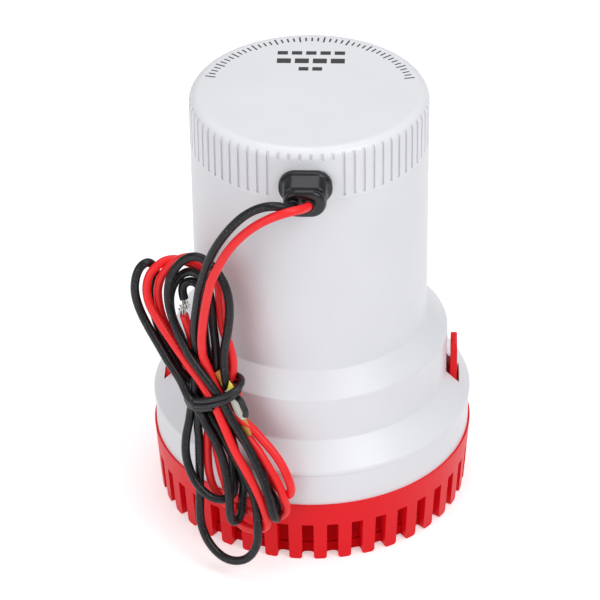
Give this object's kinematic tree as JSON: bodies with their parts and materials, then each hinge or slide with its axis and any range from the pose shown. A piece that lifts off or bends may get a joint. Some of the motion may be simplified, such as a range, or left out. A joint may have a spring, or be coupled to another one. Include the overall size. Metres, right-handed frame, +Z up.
{
  "type": "bilge pump",
  "caption": "Submersible bilge pump: ribbed-cap motor housing on a slotted clip-on strainer, rear hose nozzle, two-wire lead tied in a hank.",
  "frame": {"origin": "centre of the strainer's screw pattern, on the hull face that its feet stand on", "axes": "+Z up along the motor shaft, +Y along the discharge nozzle, cable gland towards -Y, latch tabs at +X and -X"},
  "size_m": [0.1146, 0.1564, 0.1507],
  "materials": {
    "red_plastic": "satin gloss",
    "white_plastic": "satin gloss",
    "white_plastic_cap": "satin gloss",
    "seal_rubber": "matte",
    "black_rubber": "satin",
    "stainless": "brushed",
    "grey_plastic": "matte",
    "zinc_steel": "zinc plated",
    "magnet_ferrite": "matte",
    "core_iron": "laminated",
    "copper": "enamelled",
    "carbon": "matte",
    "bronze": "sintered",
    "black_sleeve": "satin pvc",
    "red_sleeve": "satin pvc",
    "paper_tag": "matte",
    "tinned_copper": "tinned"
  },
  "bodies": {
    "strainer_base": {"strainer": "red_plastic"},
    "latch_left": {"latch_tab_left": "red_plastic"},
    "latch_right": {"latch_tab_right": "red_plastic"},
    "pump_body": {"motor_housing": "white_plastic", "top_cap": "white_plastic_cap", "cap_o_ring": "seal_rubber", "cable_gland": "black_rubber", "pump_chamber": "white_plastic", "chamber_o_ring": "seal_rubber", "suction_plate": "white_plastic", "chamber_screws": "stainless", "shaft_seals": "seal_rubber", "seal_retainer": "stainless", "motor_can": "zinc_steel", "motor_screws": "stainless", "field_magnets": "magnet_ferrite", "end_bell": "grey_plastic", "carbon_brushes": "carbon", "brush_springs": "copper", "brush_terminals": "copper", "lower_bearing": "bronze", "upper_bearing": "bronze", "motor_leads": "black_sleeve", "lead_black": "black_sleeve", "lead_red": "red_sleeve", "lead_hank": "black_sleeve", "wire_tie": "black_sleeve", "wire_tag": "paper_tag", "bare_ends": "tinned_copper"},
    "rotor": {"motor_shaft": "stainless", "impeller": "grey_plastic", "impeller_screw": "stainless", "armature_core": "core_iron", "armature_windings": "copper", "commutator": "copper"}
  },
  "joints": [
    {"name": "body_lift", "type": "slide", "parent": "strainer_base", "child": "pump_body", "axis": [0, 0, 1], "range_m": [0, 0.035]},
    {"name": "rotor_spin", "type": "hinge", "parent": "pump_body", "child": "rotor", "pos_m": [0, 0, 0.09], "axis": [0, 0, 1], "continuous": true},
    {"name": "latch_left_flex", "type": "hinge", "parent": "strainer_base", "child": "latch_left", "pos_m": [-0.0483, 0, 0.0069], "axis": [0, 1, 0], "range_deg": [0, 2], "stiffness_Nm_per_rad": 5},
    {"name": "latch_right_flex", "type": "hinge", "parent": "strainer_base", "child": "latch_right", "pos_m": [0.0483, 0, 0.0069], "axis": [0, -1, 0], "range_deg": [0, 2], "stiffness_Nm_per_rad": 5}
  ]
}
